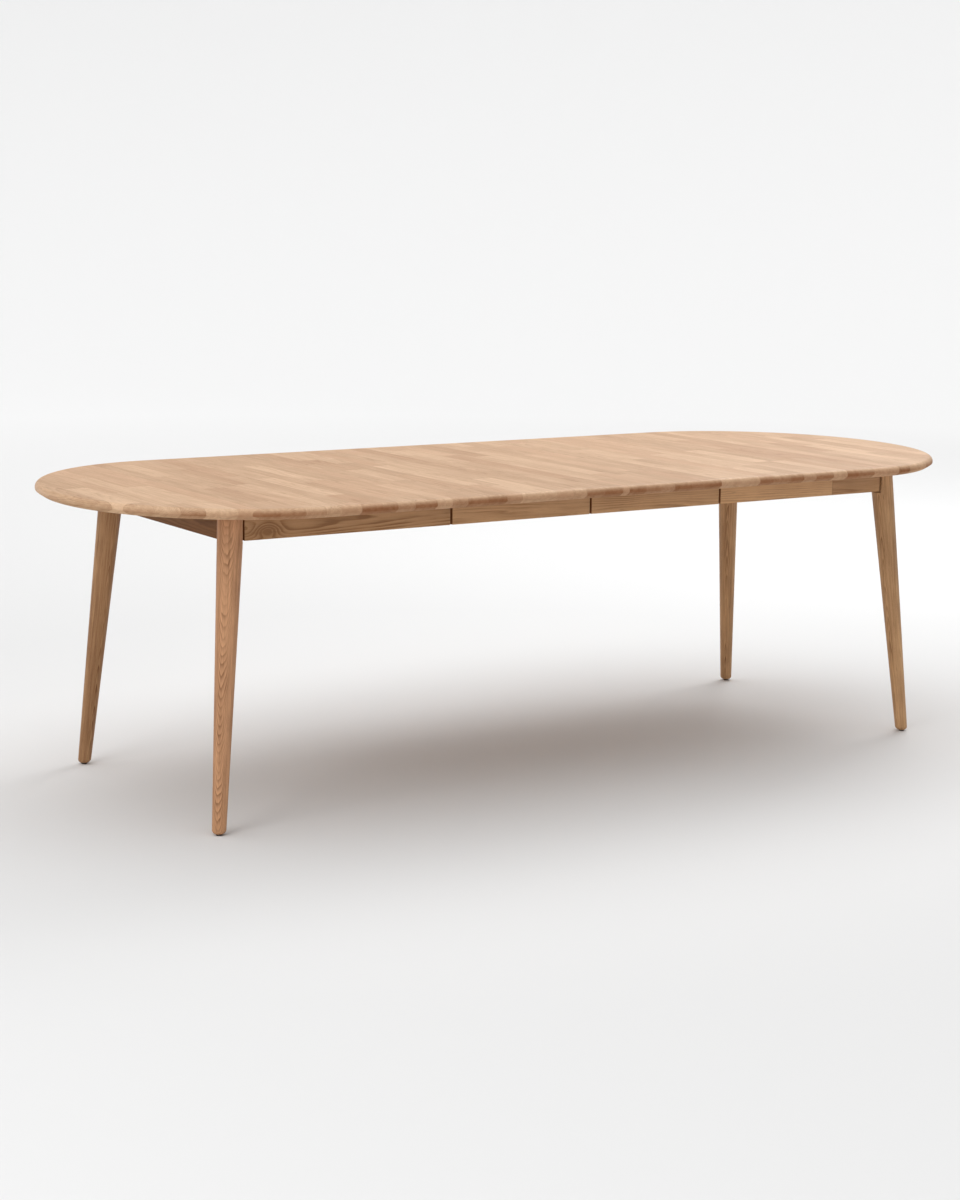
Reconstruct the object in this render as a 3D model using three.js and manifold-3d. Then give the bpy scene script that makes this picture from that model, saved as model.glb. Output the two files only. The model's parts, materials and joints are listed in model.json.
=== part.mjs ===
// Oval extension table with two loose insert leaves, drawn fully extended.
// Units are millimetres, +Z is up, X runs along the table. The origin lies on the
// floor under the middle of the table, where the two leaves meet.

import * as THREE from 'three';
import { mergeVertices } from 'three/addons/utils/BufferGeometryUtils.js';
import Module from 'manifold-3d';

const wasm = await Module();
wasm.setup();

// ---------------------------------------------------------------- driving sizes

const GAP = 0.3;                  // clearance between pieces that touch

// top
const tableHeight = 740;
const tableWidth = 1000;
const halfStraight = 400;         // straight length of each end top, before its rounded end
const endDepth = 450;             // how far the half-oval end reaches past the straight part
const leafLength = 400;
const topThickness = 25;
const edgeRound = 12;             // radius of the soft edge on the upper side
const edgeBand = 4;               // upright part of the edge below that radius
const edgeBevel = 15;             // how far the bevel under the edge reaches in

// aprons and rails
const apronSetback = 156.5;       // table edge to the apron's outer face
const apronHeight = 62;
const apronThickness = 22;
const apronSeamGap = 5;           // open gap between two apron pieces at a seam
const apronEase = 2;              // chamfer on an apron's lower edges
const railSetback = 268;          // tip of the oval to the end rail's outer face
const crossRailThickness = 20;
const crossRailInset = 20;        // seam to the cross rail

// legs
const legTopRadius = 30.3;
const legFootRadius = 16.2;
const legSplayX = 63.5;           // how far the foot stands out past the leg's top
const legSplayY = 57.2;
const legBehindRail = 19.6;       // end rail's outer face to the leg's axis, at the top
const legBehindApron = 23;        // apron's outer face to the leg's axis, at the top
const legFlatInset = 16.4;        // leg's axis at the top to the flats that face apron and rail
const legSeatInset = 19;          // leg's axis to the flat that seats on the corner block
const notchGap = 5;               // open gap between a rail's end and the leg's flat
const notchDrop = 4;              // open gap below a rail's end, down to the leg's shoulder
const footEase = 10;              // rounding of the leg's foot
const glideRadius = 7;
const glideThickness = 2.5;

// corner blocks and leg bolts
const blockHeight = 46;
const blockDrop = 6;              // underside of the top to the block
const blockThickness = 28;        // measured along the bolt
const boltRadius = 4;
const boltInLeg = 12;             // how far the bolt reaches past the leg's axis
const boltPastBlock = 16;         // how far the bolt reaches past the block
const nutAcrossFlats = 13;
const nutThickness = 6;
const flangeRadius = 10;
const flangeThickness = 2;

// runners
const runnerWidth = 22;
const runnerHeight = 38;
const runnerSetback = 110;        // apron's outer face to the outermost runner member
const runnerReach = 190;          // how far an end top's runner reaches past the seam
const runnerOverlap = 165;        // how far two members still overlap when extended
const runnerEndInset = 22;        // inner face of the end rail to the runner's end
const dovetailDepth = 6;
const dovetailNeck = 10;
const dovetailTip = 15;
const stopLength = 30;
const stopHeight = 8;
const stopInset = 10;             // runner's end to its stop block
const pullTravel = 40;            // extra pull that frees the leaves
const runnerClearance = 1;        // around the runners and stops, in the notches of a cross rail
const stopClearance = 1;          // left between two stops at the end of their travel

// dowels and leaf glue blocks
const dowelRadius = 4;
const dowelInHome = 16;
const dowelOut = 14;
const dowelDrop = 13;             // table surface to the dowel's axis
const leftDowelY = 150;           // dowels that point to the right
const rightDowelY = 265;          // dowels that point to the left
const socketClearance = 0.6;      // around a dowel in its slot
const slotPastDowel = 1.6;        // dowel's tip to the end of its slot
const glueBlockLength = 220;
const glueBlockSide = 24;

// ---------------------------------------------------------------- places worked out

const topUnder = tableHeight - topThickness;
const frameTop = topUnder - GAP;
const apronBottom = topUnder - apronHeight;
const halfWidth = tableWidth / 2;
const seamX = leafLength;
const straightEndX = seamX + halfStraight;
const tipX = straightEndX + endDepth;
const apronOuterY = halfWidth - apronSetback;
const apronInnerY = apronOuterY - apronThickness;
const railOuterX = tipX - railSetback;
const railInnerX = railOuterX - apronThickness;
const legTopX = railOuterX - legBehindRail;
const legTopY = apronOuterY - legBehindApron;
const legFlatX = legTopX - legFlatInset;
const legFlatY = legTopY - legFlatInset;
const apronEndX = legFlatX - notchGap;
const railEndY = legFlatY - notchGap;
const shoulderZ = apronBottom - notchDrop;
const runnerPitch = runnerWidth + GAP;
const runnerOuterY = apronOuterY - runnerSetback;
const runnerBottom = frameTop - runnerHeight;
const runnerInnerEndX = seamX - runnerReach;
const runnerOuterEndX = railInnerX - runnerEndInset;
const middleHalfLength = runnerInnerEndX + runnerOverlap;
const notchFloor = runnerBottom - stopHeight - 2 * GAP - runnerClearance;
const dowelZ = tableHeight - dowelDrop;
const boltZ = topUnder - blockDrop - blockHeight / 2;

// ---------------------------------------------------------------- materials

const oakTop = new THREE.MeshStandardMaterial({ color: 0xd9b48f, roughness: 0.5, metalness: 0 });
const oakFrame = new THREE.MeshStandardMaterial({ color: 0xb98a62, roughness: 0.55, metalness: 0 });
const beech = new THREE.MeshStandardMaterial({ color: 0xc9a079, roughness: 0.6, metalness: 0 });
const zincSteel = new THREE.MeshStandardMaterial({ color: 0xb8bcc0, roughness: 0.35, metalness: 1 });
const darkPlastic = new THREE.MeshStandardMaterial({ color: 0x1d1a18, roughness: 0.7, metalness: 0 });

// ---------------------------------------------------------------- solids

// A three.js geometry as a closed solid that can be added and cut.
function solidOf(geometry) {
  const bare = geometry.clone();
  bare.deleteAttribute('normal');
  bare.deleteAttribute('uv');
  const welded = mergeVertices(bare, 1e-4);
  return new wasm.Manifold(new wasm.Mesh({
    numProp: 3,
    vertProperties: new Float32Array(welded.attributes.position.array),
    triVerts: new Uint32Array(welded.index.array),
  }));
}

function geometryOf(solid) {
  const mesh = solid.getMesh();
  const geometry = new THREE.BufferGeometry();
  geometry.setAttribute('position', new THREE.BufferAttribute(mesh.vertProperties, 3));
  geometry.setIndex(new THREE.BufferAttribute(mesh.triVerts, 1));
  geometry.computeVertexNormals();
  return geometry;
}

// A box given by its lowest and highest corner.
function boxSolid(x0, x1, y0, y1, z0, z1) {
  const box = new THREE.BoxGeometry(Math.abs(x1 - x0), Math.abs(y1 - y0), Math.abs(z1 - z0));
  box.translate((x0 + x1) / 2, (y0 + y1) / 2, (z0 + z1) / 2);
  return solidOf(box);
}

// A closed outline through (a, b) points.
function shapeOf(points) {
  return new THREE.Shape(points.map(([a, b]) => new THREE.Vector2(a, b)));
}

// An outline of (y, z) points pushed along X.
function prismAlongX(points, x0, x1) {
  const start = Math.min(x0, x1);
  const prism = new THREE.ExtrudeGeometry(shapeOf(points), {
    depth: Math.abs(x1 - x0), bevelEnabled: false,
  });
  const axes = new THREE.Matrix4().makeBasis(
    new THREE.Vector3(0, 1, 0), new THREE.Vector3(0, 0, 1), new THREE.Vector3(1, 0, 0));
  prism.applyMatrix4(axes);
  prism.translate(start, 0, 0);
  return solidOf(prism);
}

// An outline of (x, y) points pushed up from z0 to z1.
function prismAlongZ(points, z0, z1) {
  const prism = new THREE.ExtrudeGeometry(shapeOf(points), { depth: z1 - z0, bevelEnabled: false });
  prism.translate(0, 0, z0);
  return solidOf(prism);
}

// A round bar from one point to another. The radius may change along it.
function roundBar(from, to, startRadius, endRadius = startRadius, sides = 24) {
  const span = new THREE.Vector3().subVectors(to, from);
  const bar = new THREE.CylinderGeometry(endRadius, startRadius, span.length(), sides);
  bar.translate(0, span.length() / 2, 0);
  const turn = new THREE.Quaternion().setFromUnitVectors(
    new THREE.Vector3(0, 1, 0), span.clone().normalize());
  bar.applyQuaternion(turn);
  bar.translate(from.x, from.y, from.z);
  return solidOf(bar);
}

// ---------------------------------------------------------------- the table in parts

const table = new THREE.Group();

function addPiece(name, solid, material) {
  const mesh = new THREE.Mesh(geometryOf(solid), material);
  mesh.name = name;
  table.add(mesh);
}

// Edge of the top seen in section: (inset from the widest line, height), from the
// upper face round to the underside.
function edgeSection() {
  const arcSteps = 6;
  const section = [];
  for (let i = 0; i <= arcSteps; i += 1) {
    const angle = (Math.PI / 2) * (1 - i / arcSteps);
    const inset = edgeRound * (1 - Math.cos(angle));
    const height = tableHeight - edgeRound * (1 - Math.sin(angle));
    section.push([inset, height]);
  }
  section.push([0, tableHeight - edgeRound - edgeBand]);
  section.push([edgeBevel, topUnder]);
  return section;
}

// The straight stretch of the top between two places along X.
function straightTop(x0, x1) {
  const section = edgeSection();
  const right = section.map(([inset, z]) => [halfWidth - inset, z]);
  const left = section.map(([inset, z]) => [inset - halfWidth, z]).reverse();
  return prismAlongX([...right, ...left], x0, x1);
}

// The oval end: the same section turned about an upright axis and pressed to the end's depth.
function ovalEnd(side) {
  const section = edgeSection();
  const points = [
    new THREE.Vector2(0, topUnder),
    ...section.map(([inset, z]) => new THREE.Vector2(halfWidth - inset, z)).reverse(),
    new THREE.Vector2(0, tableHeight),
  ];
  const disc = new THREE.LatheGeometry(points, 96);
  disc.rotateX(Math.PI / 2);
  disc.scale(endDepth / halfWidth, 1, 1);
  disc.translate(side * straightEndX, 0, 0);
  return solidOf(disc);
}

// Open-bottomed slot in a panel's edge, that drops over a dowel in the next panel.
// The panel lies on the side that `into` points to (+1 or -1 along X).
function dowelSlot(edgeX, y, into) {
  const half = dowelRadius + socketClearance;
  const outside = edgeX - into;
  const inside = edgeX + into * (dowelOut + slotPastDowel);
  return boxSolid(outside, inside, y - half, y + half, topUnder - 1, dowelZ + half);
}

// Round hole in a panel's edge, for a dowel that the panel carries itself.
function dowelHole(edgeX, y, into) {
  const from = new THREE.Vector3(edgeX - into, y, dowelZ);
  const to = new THREE.Vector3(edgeX + into * (dowelInHome + GAP), y, dowelZ);
  return roundBar(from, to, dowelRadius + GAP);
}

// Cuts one edge of a panel: holes for its own dowels, slots for its neighbour's.
function cutPanelEdge(panel, edgeX, into, ownY, neighbourY) {
  let cut = panel;
  for (const side of [-1, 1]) {
    if (ownY !== null) {
      cut = cut.subtract(dowelHole(edgeX, side * ownY, into));
    }
    if (neighbourY !== null) {
      cut = cut.subtract(dowelSlot(edgeX, side * neighbourY, into));
    }
  }
  return cut;
}

// Dowels glued in one edge, with `out` the way they point.
function addDowels(prefix, edgeX, y, out) {
  for (const [side, place] of [[-1, 'front'], [1, 'back']]) {
    const from = new THREE.Vector3(edgeX - out * dowelInHome, side * y, dowelZ);
    const to = new THREE.Vector3(edgeX + out * dowelOut, side * y, dowelZ);
    addPiece(`${prefix}_${place}_dowel`, roundBar(from, to, dowelRadius), beech);
  }
}

function addEndTop(name, side) {
  const panelEdge = side * (seamX + GAP / 2);
  const overReach = tipX + endDepth;
  const whole = ovalEnd(side).add(straightTop(side * straightEndX, panelEdge));
  const keep = boxSolid(panelEdge, side * overReach, -tableWidth, tableWidth, 0, 2 * tableHeight);
  const ownY = side < 0 ? leftDowelY : rightDowelY;
  const neighbourY = side < 0 ? rightDowelY : leftDowelY;
  const panel = cutPanelEdge(whole.intersect(keep), panelEdge, side, ownY, neighbourY);
  addPiece(`${name}_top`, panel, oakTop);
  addDowels(name, panelEdge, ownY, -side);
}

// A rail or apron section: a board with its two lower edges eased, as (across, height).
function boardSection(outer, inner) {
  const inward = Math.sign(inner - outer);
  return [
    [outer, frameTop],
    [outer, apronBottom + apronEase],
    [outer + inward * apronEase, apronBottom],
    [inner - inward * apronEase, apronBottom],
    [inner, apronBottom + apronEase],
    [inner, frameTop],
  ];
}

function addApron(name, front, x0, x1) {
  const section = boardSection(front * apronOuterY, front * apronInnerY);
  addPiece(name, prismAlongX(section, x0, x1), oakFrame);
}

// The end rail runs along Y between the two legs of one end.
function addEndRail(name, side) {
  const section = boardSection(side * railOuterX, side * railInnerX);
  const rail = new THREE.ExtrudeGeometry(shapeOf(section), { depth: 2 * railEndY, bevelEnabled: false });
  rail.rotateX(Math.PI / 2);
  rail.translate(0, railEndY, 0);
  addPiece(`${name}_end_rail`, solidOf(rail), oakFrame);
}

// The cross rail ties front and back apron near the seam, notched for the runners.
function addCrossRail(name, side) {
  const near = side * (seamX + crossRailInset);
  const far = side * (seamX + crossRailInset + crossRailThickness);
  const reach = apronInnerY - GAP;
  let rail = boxSolid(near, far, -reach, reach, apronBottom, frameTop);
  const notchInner = runnerOuterY - 3 * runnerPitch - runnerClearance;
  const notchOuter = runnerOuterY + runnerClearance;
  for (const front of [-1, 1]) {
    rail = rail.subtract(boxSolid(
      near - side, far + side, front * notchInner, front * notchOuter, notchFloor, tableHeight));
  }
  addPiece(`${name}_cross_rail`, rail, beech);
}

// Where a leg's axis passes a given height.
function legAxisAt(side, front, z) {
  const down = (topUnder - z) / topUnder;
  return new THREE.Vector3(
    side * (legTopX + legSplayX * down), front * (legTopY + legSplayY * down), z);
}

// Direction from a leg to the middle of its corner block.
function cornerDirection(side, front) {
  return new THREE.Vector3(-side, -front, 0).normalize();
}

// A corner block's two long faces cut the rails at equal distances from the frame's inner
// corner. This gives that distance for a face which lies `along` the bolt from the leg's axis.
function cornerReach(along) {
  const axis = legAxisAt(1, 1, boltZ);
  const offset = (axis.x - railInnerX) + (axis.y - apronInnerY);
  return along * Math.SQRT2 - offset;
}

function legBolt(side, front, radius) {
  const axis = legAxisAt(side, front, boltZ);
  const way = cornerDirection(side, front);
  const end = legSeatInset + blockThickness + boltPastBlock;
  const from = axis.clone().addScaledVector(way, -boltInLeg);
  const to = axis.clone().addScaledVector(way, end);
  return roundBar(from, to, radius);
}

// Half section of an upright leg, as (radius, height), from the foot's flat up to the top.
function legProfile() {
  const footZ = glideThickness + GAP;
  const easeSteps = 5;
  const profile = [new THREE.Vector2(0, footZ)];
  for (let i = 0; i <= easeSteps; i += 1) {
    const angle = (Math.PI / 2) * (i / easeSteps);
    const radius = legFootRadius - footEase * (1 - Math.sin(angle));
    profile.push(new THREE.Vector2(radius, footZ + footEase * (1 - Math.cos(angle))));
  }
  profile.push(new THREE.Vector2(legTopRadius, frameTop), new THREE.Vector2(0, frameTop));
  return profile;
}

// Plan of what is cut off a leg's inner corner, so that the leg has a flat to seat on its block.
function seatOutline(side, front, past) {
  const reach = cornerReach(legSeatInset) + past;
  return [
    [side * (railInnerX - reach), front * (apronInnerY + past)],
    [side * (railInnerX - reach), front * (apronInnerY - reach)],
    [side * (railInnerX + past), front * (apronInnerY - reach)],
  ];
}

// A turned leg, leant over by its splay, with flats at its top for the apron and the end rail.
function addLeg(name, side, front) {
  const turned = new THREE.LatheGeometry(legProfile(), 64);
  turned.rotateX(Math.PI / 2);
  const foot = legAxisAt(side, front, 0);
  const top = legAxisAt(side, front, topUnder);
  const lean = new THREE.Matrix4().set(
    1, 0, (top.x - foot.x) / topUnder, foot.x,
    0, 1, (top.y - foot.y) / topUnder, foot.y,
    0, 0, 1, 0,
    0, 0, 0, 1);
  turned.applyMatrix4(lean);
  let leg = solidOf(turned);
  const pastLeg = 3 * legTopRadius;
  leg = leg.subtract(boxSolid(
    side * legFlatX, side * (legFlatX - pastLeg), front * (apronInnerY - pastLeg),
    front * (apronOuterY + pastLeg), shoulderZ, tableHeight));
  leg = leg.subtract(boxSolid(
    side * (railInnerX - pastLeg), side * (railOuterX + pastLeg), front * legFlatY,
    front * (legFlatY - pastLeg), shoulderZ, tableHeight));
  leg = leg.subtract(prismAlongZ(seatOutline(side, front, pastLeg), shoulderZ, tableHeight));
  leg = leg.subtract(legBolt(side, front, boltRadius + GAP));
  addPiece(`${name}_leg`, leg, oakFrame);
}

function addGlide(name, side, front) {
  const foot = legAxisAt(side, front, 0);
  const upper = legAxisAt(side, front, glideThickness).setX(foot.x).setY(foot.y);
  addPiece(`${name}_glide`, roundBar(foot, upper, glideRadius, glideRadius, 32), darkPlastic);
}

// Plan of a body that spans the corner between apron and end rail, from one distance to
// another along the bolt.
function cornerOutline(side, front, fromAlong, toAlong) {
  const near = cornerReach(fromAlong) - GAP;
  const far = cornerReach(toAlong) - GAP;
  const cornerX = railInnerX - GAP;
  const cornerY = apronInnerY - GAP;
  return [
    [side * (railInnerX - near), front * cornerY],
    [side * (railInnerX - far), front * cornerY],
    [side * cornerX, front * (apronInnerY - far)],
    [side * cornerX, front * (apronInnerY - near)],
  ];
}

function addCornerBlock(name, side, front) {
  const outline = cornerOutline(side, front, legSeatInset + GAP, legSeatInset + GAP + blockThickness);
  const upper = topUnder - blockDrop;
  const block = prismAlongZ(outline, upper - blockHeight, upper);
  const bored = block.subtract(legBolt(side, front, boltRadius + GAP));
  addPiece(`${name}_corner_block`, bored, beech);
}

function addLegBolt(name, side, front) {
  addPiece(`${name}_leg_bolt`, legBolt(side, front, boltRadius), zincSteel);
}

// Flange nut: a hexagon on a round flange, drawn up against the corner block.
function addFlangeNut(name, side, front) {
  const axis = legAxisAt(side, front, boltZ);
  const way = cornerDirection(side, front);
  const seat = legSeatInset + blockThickness + 2 * GAP;
  const start = axis.clone().addScaledVector(way, seat);
  const flangeEnd = axis.clone().addScaledVector(way, seat + flangeThickness);
  const end = axis.clone().addScaledVector(way, seat + flangeThickness + nutThickness);
  const flange = roundBar(start, flangeEnd, flangeRadius, flangeRadius, 32);
  const hexagon = roundBar(start, end, nutAcrossFlats / Math.sqrt(3), nutAcrossFlats / Math.sqrt(3), 6);
  const nut = flange.add(hexagon).subtract(legBolt(side, front, boltRadius + GAP));
  addPiece(`${name}_flange_nut`, nut, zincSteel);
}

// ---------------------------------------------------------------- runners

// Section of a runner member. `place` counts the members inwards from the apron: 0 is
// fixed to the left top, 1 floats, 2 is fixed to the right top. A member has a dovetail
// tongue on its outer side (except the first) and a groove on its inner side (except the last).
function runnerSection(front, place) {
  const outer = runnerOuterY - place * runnerPitch;
  const inner = outer - runnerWidth;
  const middle = frameTop - runnerHeight / 2;
  const points = [[outer, frameTop]];
  if (place > 0) {
    points.push(
      [outer, middle + dovetailNeck / 2],
      [outer + dovetailDepth, middle + dovetailTip / 2],
      [outer + dovetailDepth, middle - dovetailTip / 2],
      [outer, middle - dovetailNeck / 2]);
  }
  points.push([outer, runnerBottom], [inner, runnerBottom]);
  if (place < 2) {
    const floor = inner + dovetailDepth + GAP;
    const slack = 2 * GAP;
    points.push(
      [inner, middle - dovetailNeck / 2 - slack],
      [floor, middle - dovetailTip / 2 - slack],
      [floor, middle + dovetailTip / 2 + slack],
      [inner, middle + dovetailNeck / 2 + slack]);
  }
  points.push([inner, frameTop]);
  return points.map(([y, z]) => [front * y, z]);
}

function addRunnerSet(place, front) {
  const spans = [
    ['left', -runnerOuterEndX, -runnerInnerEndX],
    ['middle', -middleHalfLength, middleHalfLength],
    ['right', runnerInnerEndX, runnerOuterEndX],
  ];
  spans.forEach(([member, x0, x1], index) => {
    addPiece(`${member}_${place}_runner`, prismAlongX(runnerSection(front, index), x0, x1), beech);
  });
  addRunnerStops(place, front);
}

// Each end member and the middle member carry a stop block under them. The two meet when
// the table has been pulled past its working length by the extra travel.
function addRunnerStops(place, front) {
  const middleOuterY = runnerOuterY - runnerPitch;
  const middleInnerY = middleOuterY - runnerWidth;
  const laneWidth = runnerWidth / 2 - 2 * GAP;
  const upper = runnerBottom - GAP;
  const lower = upper - stopHeight;
  const endStopNear = runnerInnerEndX + stopInset;
  const endStopFar = endStopNear + stopLength;
  const middleStopNear = endStopFar + pullTravel / 2 + stopClearance;
  const middleStopFar = middleStopNear + stopLength;
  const lanes = [
    { member: 'left', side: -1, far: runnerOuterY, laneFrom: middleOuterY },
    { member: 'right', side: 1, far: runnerOuterY - 3 * runnerPitch + GAP, laneFrom: middleInnerY },
  ];
  for (const { member, side, far, laneFrom } of lanes) {
    const laneTo = laneFrom - Math.sign(far - laneFrom) * laneWidth;
    addPiece(`${member}_${place}_runner_stop`, boxSolid(
      side * endStopNear, side * endStopFar, front * far, front * laneTo, lower, upper), beech);
    addPiece(`middle_${place}_${member}_stop`, boxSolid(
      side * middleStopNear, side * middleStopFar, front * laneFrom, front * laneTo, lower, upper), beech);
  }
}

// ---------------------------------------------------------------- insert leaves

// A leaf: panel, its two apron pieces and the glue blocks in the corners between them.
function addLeaf(name, x0, x1, ownEdge) {
  const low = x0 + GAP / 2;
  const high = x1 - GAP / 2;
  let panel = straightTop(low, high);
  const lowOwn = ownEdge === 'low' ? leftDowelY : null;
  const lowNeighbour = ownEdge === 'low' ? null : leftDowelY;
  const highNeighbour = ownEdge === 'low' ? rightDowelY : leftDowelY;
  panel = cutPanelEdge(panel, low, 1, lowOwn, lowNeighbour);
  panel = cutPanelEdge(panel, high, -1, null, highNeighbour);
  addPiece(`${name}_leaf_panel`, panel, oakTop);
  if (ownEdge === 'low') {
    addDowels(`${name}_leaf`, low, leftDowelY, -1);
  }
  const middle = (x0 + x1) / 2;
  for (const [front, place] of [[-1, 'front'], [1, 'back']]) {
    addApron(`${name}_leaf_${place}_apron`, front, x0 + apronSeamGap / 2, x1 - apronSeamGap / 2);
    const corner = apronInnerY - GAP;
    const block = [
      [front * corner, frameTop],
      [front * (corner - glueBlockSide), frameTop],
      [front * corner, frameTop - glueBlockSide],
    ];
    const reach = glueBlockLength / 2;
    addPiece(`${name}_leaf_${place}_glue_block`, prismAlongX(block, middle - reach, middle + reach), beech);
  }
}

// ---------------------------------------------------------------- assembly

for (const [end, side] of [['left', -1], ['right', 1]]) {
  addEndTop(end, side);
  addEndRail(end, side);
  addCrossRail(end, side);
  for (const [place, front] of [['front', -1], ['back', 1]]) {
    const corner = `${end}_${place}`;
    addApron(`${corner}_apron`, front, side * (seamX + apronSeamGap / 2), side * apronEndX);
    addLeg(corner, side, front);
    addGlide(corner, side, front);
    addCornerBlock(corner, side, front);
    addLegBolt(corner, side, front);
    addFlangeNut(corner, side, front);
  }
}
for (const [place, front] of [['front', -1], ['back', 1]]) {
  addRunnerSet(place, front);
}
addLeaf('left', -leafLength, 0, 'none');
addLeaf('right', 0, leafLength, 'low');

export default table;
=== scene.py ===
# Oval oak extension table with two insert leaves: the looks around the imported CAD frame.
# Metres, +Z up, X along the table, floor at z = 0.
import json
import math

import bmesh
import bpy
from mathutils import Matrix, Vector


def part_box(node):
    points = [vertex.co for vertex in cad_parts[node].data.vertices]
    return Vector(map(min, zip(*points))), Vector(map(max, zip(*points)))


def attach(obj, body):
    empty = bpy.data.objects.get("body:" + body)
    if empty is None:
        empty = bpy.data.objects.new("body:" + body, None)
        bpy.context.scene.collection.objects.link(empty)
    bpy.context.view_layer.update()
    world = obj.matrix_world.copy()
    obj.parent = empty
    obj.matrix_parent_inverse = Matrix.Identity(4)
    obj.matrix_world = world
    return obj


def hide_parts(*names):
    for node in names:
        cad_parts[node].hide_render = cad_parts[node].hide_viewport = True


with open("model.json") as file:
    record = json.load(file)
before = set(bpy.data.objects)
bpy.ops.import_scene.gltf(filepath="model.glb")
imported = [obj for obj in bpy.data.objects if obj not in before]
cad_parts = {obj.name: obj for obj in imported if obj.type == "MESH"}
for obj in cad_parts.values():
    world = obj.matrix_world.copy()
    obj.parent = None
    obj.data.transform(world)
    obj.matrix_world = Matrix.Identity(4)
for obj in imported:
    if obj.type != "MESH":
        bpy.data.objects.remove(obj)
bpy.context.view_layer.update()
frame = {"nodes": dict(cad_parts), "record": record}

scene = bpy.context.scene
GAP = 0.0003                      # play between pieces that meet

# ---------------------------------------------------------------- sizes read from the frame

BODY_OF = {}
for body_name, node_names in frame["record"]["behaviour"]["bodies"].items():
    for node_name in node_names:
        BODY_OF[node_name] = body_name

TOP_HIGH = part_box("left_top")[1][2]
TOP_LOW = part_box("left_top")[0][2]
HALF_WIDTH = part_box("left_top")[1][1]
TIP_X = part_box("right_top")[1][0]
FRAME_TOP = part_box("left_end_rail")[1][2]
APRON_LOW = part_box("left_end_rail")[0][2]

END_DEPTH = 0.450                 # the half-oval end
EDGE_ROUND = 0.012                # soft edge above
EDGE_BAND = 0.004                 # upright part of the edge
EDGE_BEVEL = 0.015                # bevel under the edge
SEAM_EASE = 0.0004                # tiny chamfer along a panel's seam
LEG_TOP_RADIUS = 0.0303
LEG_FOOT_RADIUS = 0.0162
LEG_SPLAY = (0.0635, 0.0572)      # foot outwards from the leg's top, along X and Y
FOOT_EASE = 0.010
SHOULDER_DROP = 0.004             # rail's lower edge to the shoulder cut in a leg
LEG_FLAT_INSET = 0.0164           # leg's axis at the top to the flats cut for the rails
LEG_SEAT_INSET = 0.019            # leg's axis to the flat on the corner block


# ---------------------------------------------------------------- node graphs

class Graph:
    """A short way to write shader nodes. Values may be numbers, colours, vectors or sockets."""

    def __init__(self, material):
        self.tree = material.node_tree
        self.shader = self.tree.nodes["Principled BSDF"]

    def put(self, socket, value):
        if isinstance(value, bpy.types.NodeSocket):
            self.tree.links.new(value, socket)
        else:
            socket.default_value = value

    def node(self, kind, **settings):
        made = self.tree.nodes.new(kind)
        for key, value in settings.items():
            setattr(made, key, value)
        return made

    def math(self, operation, a, b=0.0, c=0.0):
        made = self.node("ShaderNodeMath", operation=operation)
        for index, value in enumerate((a, b, c)):
            self.put(made.inputs[index], value)
        return made.outputs[0]

    def vector(self, x, y, z):
        made = self.node("ShaderNodeCombineXYZ")
        for index, value in enumerate((x, y, z)):
            self.put(made.inputs[index], value)
        return made.outputs[0]

    def split(self, value):
        made = self.node("ShaderNodeSeparateXYZ")
        self.put(made.inputs[0], value)
        return made.outputs[0], made.outputs[1], made.outputs[2]

    def noise(self, vector, detail=2.0, roughness=0.5):
        made = self.node("ShaderNodeTexNoise")
        self.put(made.inputs["Vector"], vector)
        made.inputs["Scale"].default_value = 1.0
        made.inputs["Detail"].default_value = detail
        made.inputs["Roughness"].default_value = roughness
        return made.outputs["Fac"]

    def chance(self, vector):
        """Three numbers from 0 to 1 that depend only on the vector."""
        made = self.node("ShaderNodeTexWhiteNoise", noise_dimensions="3D")
        self.put(made.inputs["Vector"], vector)
        return self.split(made.outputs["Color"])

    def remap(self, value, low, high, new_low=0.0, new_high=1.0):
        """The value moved from one range to another and kept inside it."""
        made = self.node("ShaderNodeMapRange", clamp=True)
        self.put(made.inputs["Value"], value)
        made.inputs["From Min"].default_value = low
        made.inputs["From Max"].default_value = high
        made.inputs["To Min"].default_value = new_low
        made.inputs["To Max"].default_value = new_high
        return made.outputs["Result"]

    def mix(self, factor, a, b, blend="MIX"):
        made = self.node("ShaderNodeMix", data_type="RGBA", blend_type=blend)
        self.put(made.inputs["Factor"], factor)
        self.put(made.inputs["A"], a)
        self.put(made.inputs["B"], b)
        return made.outputs["Result"]

    def bump(self, height, strength, distance):
        made = self.node("ShaderNodeBump")
        made.inputs["Strength"].default_value = strength
        made.inputs["Distance"].default_value = distance
        self.put(made.inputs["Height"], height)
        return made.outputs["Normal"]


def new_material(name):
    material = bpy.data.materials.new(name)
    material.use_nodes = True
    return material, Graph(material)


def srgb(red, green, blue):
    """A colour given as it is seen on screen, 0 to 255, as the linear values that a shader takes."""
    linear = []
    for value in (red, green, blue):
        share = value / 255
        linear.append(share / 12.92 if share <= 0.04045 else ((share + 0.055) / 1.055) ** 2.4)
    return (*linear, 1.0)


# ---------------------------------------------------------------- wood

WOOD = "wood"                     # mesh attribute: place in the board, as (across, through, along)
WHOLE_BOARD = 2.0                 # board width that no piece reaches, so that a piece is one board

# how fine each layer of the wood is, in waves per metre across and along the grain
FIBRES = (700.0, 11.0)
PORES = (1500.0, 60.0)
FLECKS = (240.0, 28.0)
CLOUDS = (16.0, 2.6)
STREAKS_ALONG = 5.0

# how the growth rings wander, in the same waves per metre
DRIFT = (14.0, 2.6)
DRIFT_REACH = 0.020               # how far the slow drift carries them, in metres
WOBBLE = (55.0, 8.0)
CLEARNESS = (30.0, 9.0)           # where their lines are clear and where they are faint
KNOT_RINGS = 4.5                  # rings around a knot

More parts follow.
